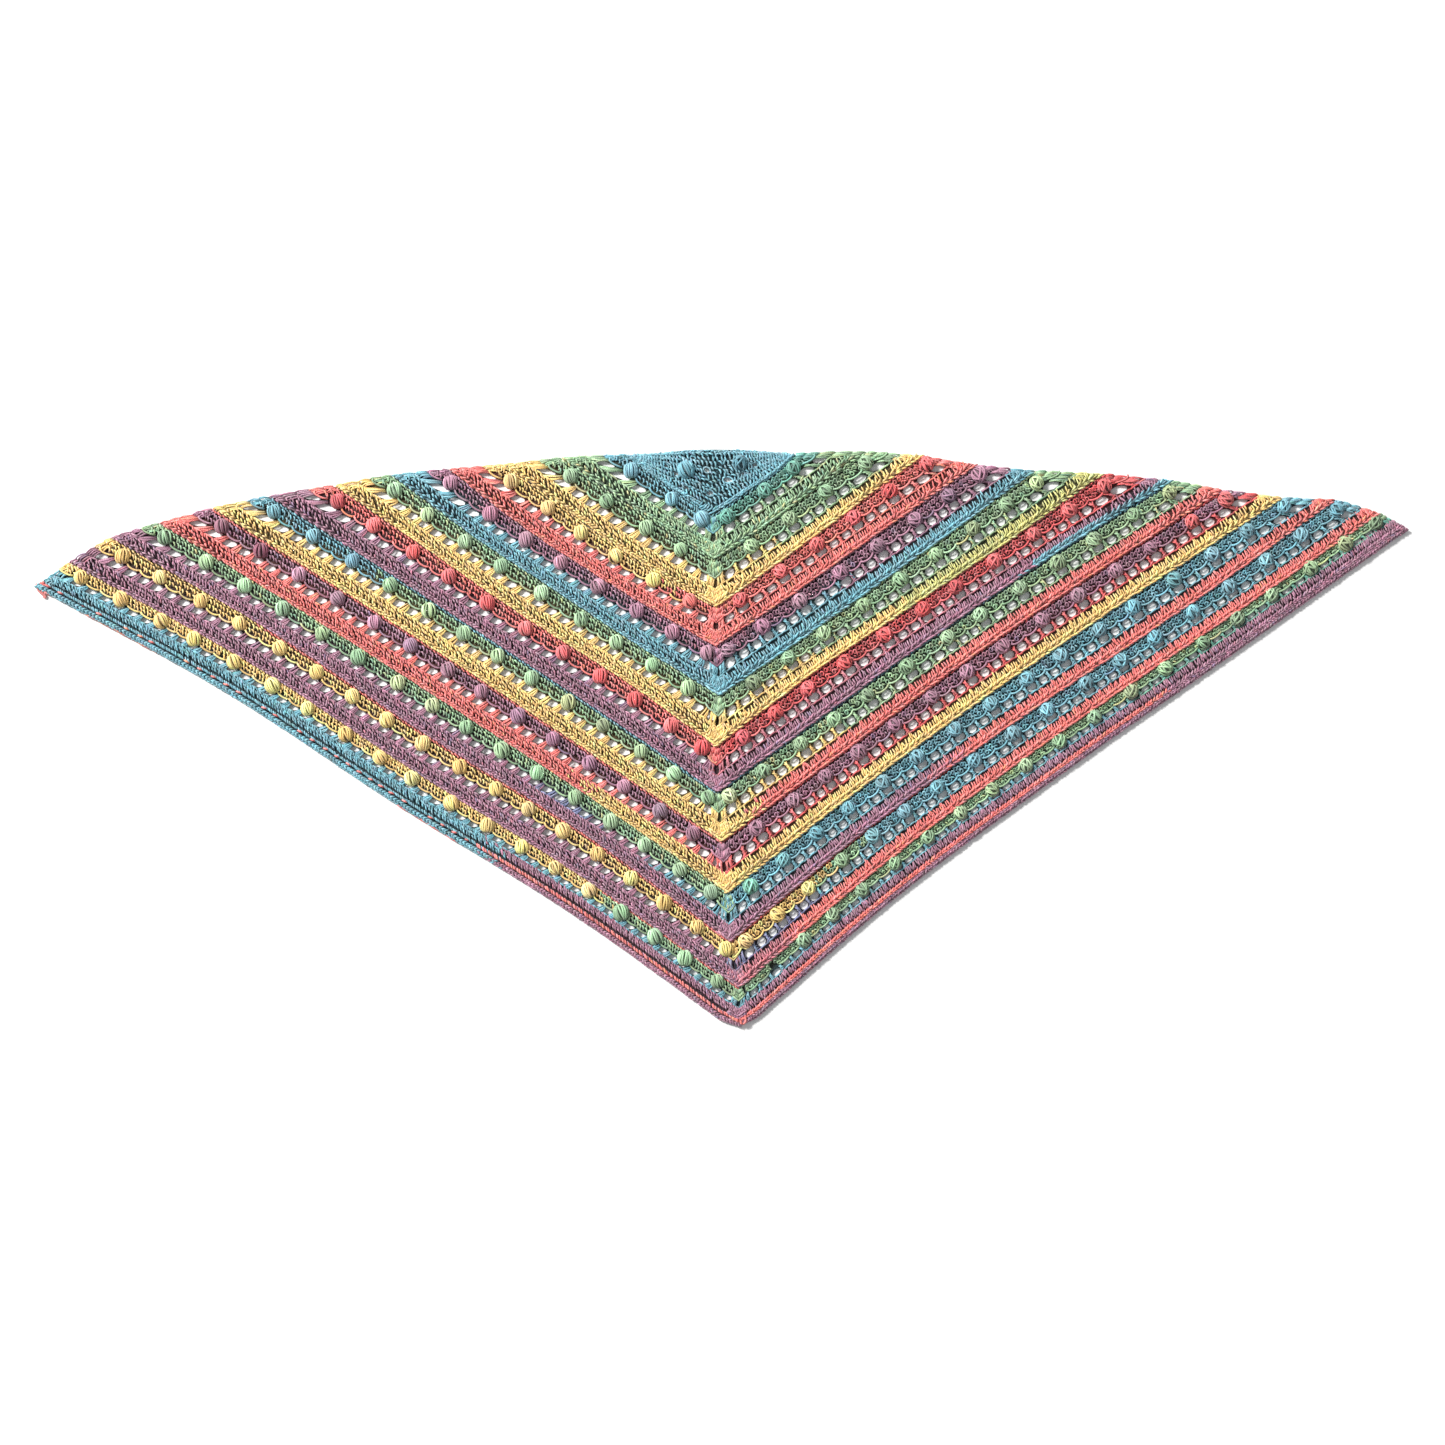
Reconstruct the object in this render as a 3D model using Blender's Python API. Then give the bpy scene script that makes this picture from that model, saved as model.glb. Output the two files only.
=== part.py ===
"""Crochet shawl laid flat: a shallow V of pattern bands around a small start panel.

Frame: metres, +Z up, +X towards the right tip as laid, +Y from the lower point
towards the neck edge. The back of the cloth lies on z = 0. The origin is the
middle of the outline's box, on the surface it lies on.

Positions are given on the cloth's own grain: u runs along the rows of the left
wing (towards the point), v runs along the rows of the right wing (away from the
point). So a row is a line of nearly constant v on the left wing and of nearly
constant u on the right wing, and the two meet in a corner on the spine.
"""
import math

import bmesh
import bpy
from mathutils import Vector

# ---------------------------------------------------------------- driving sizes
MM = 0.001
U_STEP = 0.892 * MM          # one grain unit along a left row, in metres
V_STEP = 0.858 * MM          # one grain unit along a right row
LEFT_ROW_SLOPE = -31.36      # degrees, left rows run down to the point
RIGHT_ROW_SLOPE = 36.93      # degrees, right rows run up from the point

SEAM_GAP = 0.30 * MM         # clear space between neighbouring pieces
STATIONS = 10                # sections along each wing of a band
CORNER_STEP = 24 * MM        # one more section this far from each spine corner
POINT_ROUNDING = 7.5 * MM    # how far the edging's lower point is pulled in
EDGING_WIDTH = 12.0          # grain units

# Height of the cloth across one pattern band, from its inner to its outer line.
#           share of width, height above the surface in mm
BAND_PROFILE = (
    (0.00, 3.6),             # foot of the single crochet, behind the ridge
    (0.10, 5.0),
    (0.27, 7.6),             # crest of the bobble row
    (0.44, 4.6),
    (0.56, 3.2),             # open mesh row
    (0.78, 4.0),             # solid row of double crochet
    (0.93, 5.8),             # raised chain line
    (1.00, 4.4),
)
START_PROFILE = (
    (0.00, 3.6),             # neck edge
    (0.10, 4.6),
    (0.30, 6.4),             # first bobbles
    (0.50, 4.4),
    (0.62, 3.4),
    (0.80, 4.2),
    (0.92, 5.8),             # raised chain line
    (1.00, 4.4),
)
EDGING_PROFILE = (
    (0.00, 4.2),
    (0.25, 5.0),             # contrast stitches
    (0.60, 5.2),
    (0.85, 5.0),             # last chain
    (1.00, 3.6),
)

# One row for each raised line, in grain units.
# Left wing: u at the neck edge, v at 0, 1/4, 1/2, 3/4 of the way to the corner.
# Corner on the spine: u, v.
# Right wing: u at 1/4, 1/2, 3/4 and at the neck edge, v at the neck edge.
LINE_COLUMNS = ("name", "left_u", "v0", "v1", "v2", "v3", "corner_u", "corner_v",
                "u1", "u2", "u3", "u4", "right_v")
LINES = (
    ("line_02", -340,  236,  231,  229,  228, -218,  226, -216, -215, -214, -217, 348),
    ("line_03", -388,  187,  183,  181,  180, -172,  178, -168, -167, -167, -165, 400),
    ("line_04", -425,  140,  134,  126,  124, -122,  127, -120, -119, -119, -118, 434),
    ("line_05", -462,   97,   85,   80,   79,  -83,   81,  -78,  -75,  -72,  -68, 460),
    ("line_06", -500,   51,   39,   34,   29,  -30,   28,  -25,  -22,  -19,  -17, 494),
    ("line_07", -533,    0,   -8,  -17,  -20,   19,  -31,   18,   25,   33,   38, 537),
    ("line_08", -572,  -57,  -60,  -66,  -72,   66,  -82,   69,   73,   81,   97, 577),
    ("line_09", -603, -109, -112, -117, -125,  119, -134,  121,  122,  131,  145, 602),
    ("line_10", -628, -162, -163, -168, -175,  176, -188,  171,  174,  184,  199, 634),
    ("line_11", -650, -211, -207, -217, -220,  227, -241,  217,  222,  235,  241, 668),
    ("line_12", -657, -268, -257, -266, -270,  281, -287,  265,  266,  277,  288, 682),
    ("outline", -658, -319, -307, -316, -319,  328, -339,  310,  311,  320,  327, 684),
)

# Neck edge of the start panel, from the left end of line_02 to its right end.
NECK_COLUMNS = ("u", "v")
NECK = ((-337, 240), (-321, 260), (-300, 286), (-268, 315), (-245, 332), (-223, 345))

# Main colour of each piece (sRGB), roughness
COLOUR_COLUMNS = ("name", "red", "green", "blue", "roughness")
COLOURS = (
    ("teal",   0.25, 0.58, 0.66, 0.85),
    ("green",  0.43, 0.63, 0.43, 0.85),
    ("yellow", 0.94, 0.74, 0.34, 0.85),
    ("coral",  0.88, 0.33, 0.31, 0.85),
    ("plum",   0.51, 0.33, 0.49, 0.85),
)
PIECE_COLOUR = {
    "start_panel": "teal", "band_02": "green", "band_03": "yellow", "band_04": "coral",
    "band_05": "teal", "band_06": "yellow", "band_07": "plum", "band_08": "green",
    "band_09": "coral", "band_10": "plum", "band_11": "plum", "band_12": "teal",
    "edging": "plum",
}


# ---------------------------------------------------------------- helpers
def grain(u, v):
    """Grain coordinates to the plan, in metres."""
    a = math.radians(LEFT_ROW_SLOPE)
    b = math.radians(RIGHT_ROW_SLOPE)
    return Vector((u * U_STEP * math.cos(a) + v * V_STEP * math.cos(b),
                   u * U_STEP * math.sin(a) + v * V_STEP * math.sin(b)))


def smooth_value(values, t):
    """Value at t in 0..1 on a smooth curve through evenly spaced values."""
    n = len(values) - 1
    x = min(max(t, 0.0), 1.0) * n
    i = min(int(x), n - 1)
    f = x - i
    p1, p2 = values[i], values[i + 1]
    p0 = values[i - 1] if i > 0 else 2 * p1 - p2
    p3 = values[i + 2] if i + 2 <= n else 2 * p2 - p1
    return 0.5 * (2 * p1 + (p2 - p0) * f + (2 * p0 - 5 * p1 + 4 * p2 - p3) * f * f
                  + (3 * p1 - p0 - 3 * p2 + p3) * f * f * f)


def left_point(line, t):
    u = line["left_u"] + (line["corner_u"] - line["left_u"]) * t
    v = smooth_value([line[k] for k in ("v0", "v1", "v2", "v3", "corner_v")], t)
    return grain(u, v)


def right_point(line, t):
    v = line["corner_v"] + (line["right_v"] - line["corner_v"]) * t
    u = smooth_value([line[k] for k in ("corner_u", "u1", "u2", "u3", "u4")], t)
    return grain(u, v)


def line_points(line, round_point=0.0):
    """Every station of one raised line, left neck edge to right neck edge."""
    left_len = (left_point(line, 1) - left_point(line, 0)).length
    right_len = (right_point(line, 1) - right_point(line, 0)).length
    near = CORNER_STEP
    left = [left_point(line, t * (1 - near / left_len)) for t in
            [i / STATIONS for i in range(STATIONS + 1)]]
    right = [right_point(line, near / right_len + t * (1 - near / right_len)) for t in
             [i / STATIONS for i in range(STATIONS + 1)]]
    corner = left_point(line, 1)
    if round_point:
        inward = ((left[-1] - corner).normalized() + (right[0] - corner).normalized()).normalized()
        corner = corner + inward * round_point
    return left + [corner] + right


def neck_points(count):
    """The start panel's neck edge, in as many stations as a raised line has."""
    us = [p[0] for p in NECK]
    vs = [p[1] for p in NECK]
    return [grain(smooth_value(us, i / (count - 1)), smooth_value(vs, i / (count - 1)))
            for i in range(count)]


def set_off(points, distance):
    """The line moved sideways; positive is outwards, to the right of its travel."""
    out = []
    n = len(points)
    for i, p in enumerate(points):
        a = (p - points[i - 1]).normalized() if i else None
        b = (points[i + 1] - p).normalized() if i < n - 1 else None
        a = a or b
        b = b or a
        na = Vector((a.y, -a.x))
        nb = Vector((b.y, -b.x))
        m = (na + nb).normalized()
        out.append(p + m * (distance / max(m.dot(na), 0.3)))
    return out


def lofted_band(name, inner, outer, profile, collection):
    """A closed solid between two lines, flat below, with the profile on top."""
    bm = bmesh.new()
    rings = []
    for p, q in zip(inner, outer):
        ring = [bm.verts.new((p.x, p.y, 0.0))]
        for share, height in profile:
            s = p.lerp(q, share)
            ring.append(bm.verts.new((s.x, s.y, height * MM)))
        ring.append(bm.verts.new((q.x, q.y, 0.0)))
        rings.append(ring)
    for a, b in zip(rings, rings[1:]):
        n = len(a)
        for i in range(n):
            j = (i + 1) % n
            bm.faces.new((a[i], a[j], b[j], b[i]))
    bm.faces.new(tuple(reversed(rings[0])))
    bm.faces.new(tuple(rings[-1]))
    bmesh.ops.recalc_face_normals(bm, faces=bm.faces)
    mesh = bpy.data.meshes.new(name)
    bm.to_mesh(mesh)
    bm.free()
    obj = bpy.data.objects.new(name, mesh)
    collection.objects.link(obj)
    return obj


def linear(c):
    return c / 12.92 if c <= 0.04045 else ((c + 0.055) / 1.055) ** 2.4


def cloth_material(piece, colour):
    mat = bpy.data.materials.new(piece + "_cotton")
    mat.use_nodes = True
    shader = mat.node_tree.nodes["Principled BSDF"]
    _, r, g, b, rough = colour
    shader.inputs["Base Color"].default_value = (linear(r), linear(g), linear(b), 1)
    shader.inputs["Roughness"].default_value = rough
    shader.inputs["Metallic"].default_value = 0.0
    return mat


# ---------------------------------------------------------------- build
for old in list(bpy.data.objects):
    bpy.data.objects.remove(old, do_unlink=True)

shawl = bpy.data.collections.new("crochet_shawl")
bpy.context.scene.collection.children.link(shawl)

lines = [dict(zip(LINE_COLUMNS, row)) for row in LINES]
edge_inner = dict(lines[-1])
edge_inner["name"] = "edging_inner"
for key in ("v0", "v1", "v2", "v3", "corner_v"):
    edge_inner[key] += EDGING_WIDTH
for key in ("corner_u", "u1", "u2", "u3", "u4"):
    edge_inner[key] -= EDGING_WIDTH
edge_inner["left_u"] += 1

tracks = [line_points(row) for row in lines[:-1]]
tracks.append(line_points(edge_inner, POINT_ROUNDING * 0.5))
tracks.append(line_points(lines[-1], POINT_ROUNDING))
neck = neck_points(len(tracks[0]))

# the outline's box gives the origin
every = [p for track in tracks for p in track] + neck
low = Vector((min(p.x for p in every), min(p.y for p in every)))
high = Vector((max(p.x for p in every), max(p.y for p in every)))
centre = (low + high) / 2
tracks = [[p - centre for p in track] for track in tracks]
neck = [p - centre for p in neck]

half = SEAM_GAP / 2
pieces = []
pieces.append(lofted_band("start_panel", neck, set_off(tracks[0], -half), START_PROFILE, shawl))
for i in range(len(tracks) - 2):
    pieces.append(lofted_band("band_%02d" % (i + 2), set_off(tracks[i], half),
                              set_off(tracks[i + 1], -half), BAND_PROFILE, shawl))
pieces.append(lofted_band("edging", set_off(tracks[-2], half), tracks[-1], EDGING_PROFILE, shawl))

by_name = {row[0]: row for row in COLOURS}
for obj in pieces:
    obj.data.materials.append(cloth_material(obj.name, by_name[PIECE_COLOUR[obj.name]]))
    obj.data.shade_smooth()
    obj.data.set_sharp_from_angle(angle=math.radians(40))
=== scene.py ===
"""Looks of the crochet shawl: every stitch as looped yarn, on the bands of the frame.

Positions are given on the cloth's own grain, as in the construction: u runs
along the rows of the left wing, v along the rows of the right wing. A stitch is
placed by its column along the row (six columns to a bobble) and by its share of
the band's width, 0 at the inner raised line and 1 at the outer one.
"""
import math

import bpy
import numpy as np
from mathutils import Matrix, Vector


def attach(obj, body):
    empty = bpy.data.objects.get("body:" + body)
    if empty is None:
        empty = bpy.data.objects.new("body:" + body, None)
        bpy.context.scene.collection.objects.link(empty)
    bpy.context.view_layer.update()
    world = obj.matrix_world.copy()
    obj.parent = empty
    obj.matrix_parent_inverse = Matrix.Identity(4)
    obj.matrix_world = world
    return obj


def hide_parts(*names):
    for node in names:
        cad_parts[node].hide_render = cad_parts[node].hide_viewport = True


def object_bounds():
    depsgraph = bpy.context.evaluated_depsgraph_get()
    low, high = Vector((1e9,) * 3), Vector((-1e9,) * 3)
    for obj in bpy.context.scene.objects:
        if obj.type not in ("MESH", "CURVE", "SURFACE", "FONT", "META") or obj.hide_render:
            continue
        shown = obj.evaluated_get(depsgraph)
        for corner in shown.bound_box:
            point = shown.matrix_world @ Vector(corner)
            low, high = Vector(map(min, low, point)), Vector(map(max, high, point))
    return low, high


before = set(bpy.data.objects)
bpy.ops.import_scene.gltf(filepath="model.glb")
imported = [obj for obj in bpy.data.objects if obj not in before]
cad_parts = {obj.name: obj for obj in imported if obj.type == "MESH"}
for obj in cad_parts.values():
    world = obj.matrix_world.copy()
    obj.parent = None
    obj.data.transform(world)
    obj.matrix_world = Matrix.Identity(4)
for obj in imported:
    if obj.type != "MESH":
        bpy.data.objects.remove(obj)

cad_box = [[float(x) for x in corner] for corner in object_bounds()]
rng = np.random.default_rng(11)

# ---------------------------------------------------------------- the cloth's plan
MM = 0.001
ROW_A = math.radians(-31.36)       # left rows run down to the point
ROW_B = math.radians(36.93)        # right rows run up from the point
U_AXIS = 0.892 * MM * np.array((math.cos(ROW_A), math.sin(ROW_A)))
V_AXIS = 0.858 * MM * np.array((math.cos(ROW_B), math.sin(ROW_B)))
POINT_ROUNDING = 7.5 * MM
CORNER_REACH = 24 * MM
EDGING_WIDTH = 12.0

LINE_COLUMNS = ("name", "left_u", "v0", "v1", "v2", "v3", "corner_u", "corner_v",
                "u1", "u2", "u3", "u4", "right_v")
LINES = (
    ("line_02", -340,  236,  231,  229,  228, -218,  226, -216, -215, -214, -217, 348),
    ("line_03", -388,  187,  183,  181,  180, -172,  178, -168, -167, -167, -165, 400),
    ("line_04", -425,  140,  134,  126,  124, -122,  127, -120, -119, -119, -118, 434),
    ("line_05", -462,   97,   85,   80,   79,  -83,   81,  -78,  -75,  -72,  -68, 460),
    ("line_06", -500,   51,   39,   34,   29,  -30,   28,  -25,  -22,  -19,  -17, 494),
    ("line_07", -533,    0,   -8,  -17,  -20,   19,  -31,   18,   25,   33,   38, 537),
    ("line_08", -572,  -57,  -60,  -66,  -72,   66,  -82,   69,   73,   81,   97, 577),
    ("line_09", -603, -109, -112, -117, -125,  119, -134,  121,  122,  131,  145, 602),
    ("line_10", -628, -162, -163, -168, -175,  176, -188,  171,  174,  184,  199, 634),
    ("line_11", -650, -211, -207, -217, -220,  227, -241,  217,  222,  235,  241, 668),
    ("line_12", -657, -268, -257, -266, -270,  281, -287,  265,  266,  277,  288, 682),
    ("outline", -658, -319, -307, -316, -319,  328, -339,  310,  311,  320,  327, 684),
)
NECK = ((-337, 240), (-321, 260), (-300, 286), (-268, 315), (-245, 332), (-223, 345))

# Where each bobble sits along its row: u on the left wing, v on the right wing.
BOBBLES_LEFT = {
    2: (-325, -265, -222),
    3: (-365, -312, -255, -207),
    4: (-405, -350, -300, -250, -197, -148),
    5: (-450, -388, -335, -285, -232, -178, -130, -82),
    6: (-485, -435, -379, -327, -269, -212, -162, -112, -61),
    7: (-517, -465, -408, -356, -300, -245, -192, -140, -90, -36, 10),
    8: (-555, -500, -445, -392, -337, -287, -238, -190, -138, -88, -33, 15, 65),
    9: (-580, -525, -472, -418, -366, -315, -262, -215, -162, -112, -60, -10, 42, 90),
    10: (-612, -555, -502, -450, -395, -343, -287, -238, -190, -140, -90, -36, 15, 65,
         117, 163),
    11: (-625, -575, -520, -468, -412, -360, -308, -258, -207, -155, -105, -60, -12, 38,
         88, 138, 188, 232),
    12: (-635, -583, -530, -487, -433, -380, -330, -275, -225, -180, -125, -75, -27, 20,
         68, 115, 165, 210, 258),
}
BOBBLES_RIGHT = {
    2: (235, 290, 335),
    3: (218, 275, 330, 390),
    4: (150, 210, 265, 320, 375, 430),
    5: (85, 135, 190, 250, 305, 360, 410, 455),
    6: (66, 118, 170, 228, 283, 335, 390, 440, 485),
    7: (-3, 47, 97, 152, 210, 265, 312, 368, 425, 477, 528),
    8: (-78, -26, 30, 80, 130, 190, 250, 298, 355, 410, 460, 515, 565),
    9: (-95, -38, 10, 60, 115, 172, 225, 278, 335, 387, 440, 490, 548, 596),
    10: (-165, -113, -60, -10, 43, 95, 152, 205, 258, 307, 362, 411, 470, 525, 575, 628),
    11: (-230, -178, -127, -73, -24, 25, 75, 130, 187, 237, 293, 342, 392, 447, 500, 555,
         607, 660),
    12: (-240, -188, -140, -92, -40, 12, 62, 110, 160, 210, 262, 315, 365, 420, 470, 520,
         577, 628, 672),
}
SKIPPED = {("right", 12): (0,)}    # a place on the chart with no bobble

# ---------------------------------------------------------------- colours (sRGB, 0..255)
YARN = {
    "T": (110, 172, 188),     # teal
    "t": (58, 116, 136),      # dark teal
    "K": (98, 166, 148),     # teal turning green
    "G": (146, 184, 142),     # sage green
    "g": (206, 204, 122),     # green turning yellow
    "Y": (254, 210, 128),     # yellow
    "O": (246, 174, 104),     # orange
    "C": (240, 120, 114),     # coral
    "R": (224, 88, 90),       # red coral
    "P": (164, 112, 136),     # plum
    "M": (198, 114, 128),     # plum turning coral
    "D": (130, 68, 90),       # dark plum
    "B": (118, 124, 166),     # blue plum
}
# Colour of each layer, from low to high u (left) or v (right), with the places
# where the yarn changes.   line, single crochet, bobble, mesh, treble, chain line
LAYER_COLUMNS = ("line", "single", "bobble", "mesh", "treble", "chain")
LEFT_COLOURS = {
    2: ("T", "T", "T", "G", "G", "G"),
    3: ("G", "G", "G", "Y", "Y", "Y"),
    4: ("Y", "Y -170 C", "Y -170 C", "C", "C", "C"),
    5: ("P", "P", "P", "T", "T", "T"),
    6: ("G", "G", "G", "Y", "Y", "Y"),
    7: ("C", "C", "R", "P", "P", "P"),
    8: ("T", "T -405 G", "T -405 G", "Y", "Y", "Y"),
    9: ("C", "P", "D -500 P", "C", "C -52 Y", "C -52 Y"),
    10: ("G", "G", "G", "P -80 B 0 P 80 T", "P", "P"),
    11: ("Y -440 C", "Y", "Y", "P", "P", "P"),
    12: ("Y 80 C", "Y 80 G", "Y 80 G", "T", "T -50 P", "T -40 P"),
    13: ("T -40 P", "C", "C", "T", "T", "T -40 P"),
}
RIGHT_COLOURS = {
    2: ("T", "K", "K", "G", "G", "G"),
    3: ("G", "G", "G", "Y 250 G", "Y", "Y"),
    4: ("C", "C", "R", "C", "C", "C"),
    5: ("P", "P", "P", "T 250 P", "T", "T"),
    6: ("G", "G", "G", "Y 150 G", "Y 270 g", "Y 270 g"),
    7: ("R", "R", "R", "M 400 R", "P", "P 400 T"),
    8: ("t", "G", "G", "Y 80 G", "Y -55 C", "Y -55 C"),
    9: ("R", "P", "P 530 R", "R", "Y", "Y"),
    10: ("T", "T", "K -120 T", "T", "P 100 M 140 C", "P 100 M 140 C"),
    11: ("R 100 T", "Y -100 G -40 T", "Y -100 G -40 T", "B -120 T", "M -180 C", "M -180 C"),
    12: ("G", "G", "G", "T 300 K", "P", "P"),
    13: ("P", "C 340 P", "C", "P", "P", "P"),
}


def linear(c):
    c = np.asarray(c, float) / 255.0
    return np.where(c <= 0.04045, c / 12.92, ((c + 0.055) / 1.055) ** 2.4)


YARN_LINEAR = {key: linear(value) for key, value in YARN.items()}
NEIGHBOURS = {"T": "KBt", "t": "TB", "K": "TG", "G": "KgY", "g": "GY", "Y": "OgY", "O": "YC",
              "C": "ROM", "R": "CD", "P": "MBD", "M": "PC", "D": "PR", "B": "PT"}


def yarn_colour(spec, along, blur=12.0):
    """One colour for each strand: the chart's colour, with marl and uneven dye."""
    parts = spec.split()
    keys = parts[0::2]
    stops = [float(x) for x in parts[1::2]]
    a = np.asarray(along, float) + rng.normal(0.0, blur, len(along))
    index = np.zeros(len(a), int)
    for stop in stops:
        index += a > stop
    out = np.empty((len(a), 3))
    for i, key in enumerate(keys):
        mask = index == i
        count = int(mask.sum())
        if not count:
            continue
        base = YARN_LINEAR[key]
        others = NEIGHBOURS[key]
        pick = rng.integers(0, len(others), count)
        other = np.array([YARN_LINEAR[others[p]] for p in pick])
        amount = np.where(rng.random(count) < 0.16, rng.uniform(0.15, 0.5, count),
                          rng.uniform(0.0, 0.10, count))[:, None]
        out[mask] = base * (1 - amount) + other * amount
    value = np.exp(rng.normal(-0.03, 0.19, len(a)))[:, None]
    pale = np.clip(rng.normal(0.03, 0.05, len(a)), 0, 0.16)[:, None]
    return np.clip(out * value * (1 - pale) + pale, 0.004, 0.95)


# ---------------------------------------------------------------- placing
def smooth_curve(values, t):
    """Smooth curve through evenly spaced values, running on straight past its ends."""
    values = np.asarray(values, float)
    n = len(values) - 1
    x = np.clip(t, 0.0, 1.0) * n
    i = np.minimum(x.astype(int), n - 1)
    f = x - i
    ext = np.concatenate(([2 * values[0] - values[1]], values, [2 * values[-1] - values[-2]]))
    p0, p1, p2, p3 = ext[i], ext[i + 1], ext[i + 2], ext[i + 3]
    r = 0.5 * (2 * p1 + (p2 - p0) * f + (2 * p0 - 5 * p1 + 4 * p2 - p3) * f * f
               + (3 * p1 - p0 - 3 * p2 + p3) * f ** 3)
    first = (values[1] - values[0]) * n
    last = (values[-1] - values[-2]) * n
    return r + np.where(t < 0, t * first, 0.0) + np.where(t > 1, (t - 1) * last, 0.0)


def ease(x):
    x = np.clip(x, 0.0, 1.0)
    return x * x * (3 - 2 * x)


def plan_point(u, v):
    return u[..., None] * U_AXIS + v[..., None] * V_AXIS


lines = [dict(zip(LINE_COLUMNS, row)) for row in LINES]
edge_inner = dict(lines[-1])
for key in ("v0", "v1", "v2", "v3", "corner_v"):
    edge_inner[key] += EDGING_WIDTH
for key in ("corner_u", "u1", "u2", "u3", "u4"):
    edge_inner[key] -= EDGING_WIDTH
edge_inner["left_u"] += 1
TRACKS = lines[:-1] + [edge_inner, lines[-1]]
ROUNDING = [0.0] * (len(TRACKS) - 2) + [POINT_ROUNDING * 0.5, POINT_ROUNDING]

# The middle of the outline's box is the frame's origin. The box reaches from the
# left end of the last line to the right end, and from the point to the neck edge.
def _corner_point(line, rounding):
    p = plan_point(np.array([float(line["corner_u"])]), np.array([float(line["corner_v"])]))[0]
    return p + np.array((0.0, rounding))


_probe = [plan_point(np.array([float(n[0])]), np.array([float(n[1])]))[0] for n in NECK]
for _line in TRACKS:
    _t = np.linspace(0.0, 1.0, 41)
    _u = _line["left_u"] + (_line["corner_u"] - _line["left_u"]) * _t
    _v = smooth_curve([_line[k] for k in ("v0", "v1", "v2", "v3", "corner_v")], _t)
    _probe.extend(plan_point(_u, _v)[:-2])
    _v = _line["corner_v"] + (_line["right_v"] - _line["corner_v"]) * _t
    _u = smooth_curve([_line[k] for k in ("corner_u", "u1", "u2", "u3", "u4")], _t)
    _probe.extend(plan_point(_u, _v)[2:])
_probe = np.array(_probe)
_low = _probe.min(axis=0)
_high = _probe.max(axis=0)
_low[1] = _corner_point(TRACKS[-1], POINT_ROUNDING)[1]
# the frame's own box settles the last fraction of a millimetre
_box_low = np.array(cad_box[0][:2])
_box_high = np.array(cad_box[1][:2])
CENTRE = ((_low + _high) / 2) - ((_box_low + _box_high) / 2)

GROWTH = 0.45          # how far a column leans towards the spine, per unit of width
FAN = 55.0             # grain units over which the columns fan out near both ends
ANCHOR = 0.25          # share of the width where a column's place is stated


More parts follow.
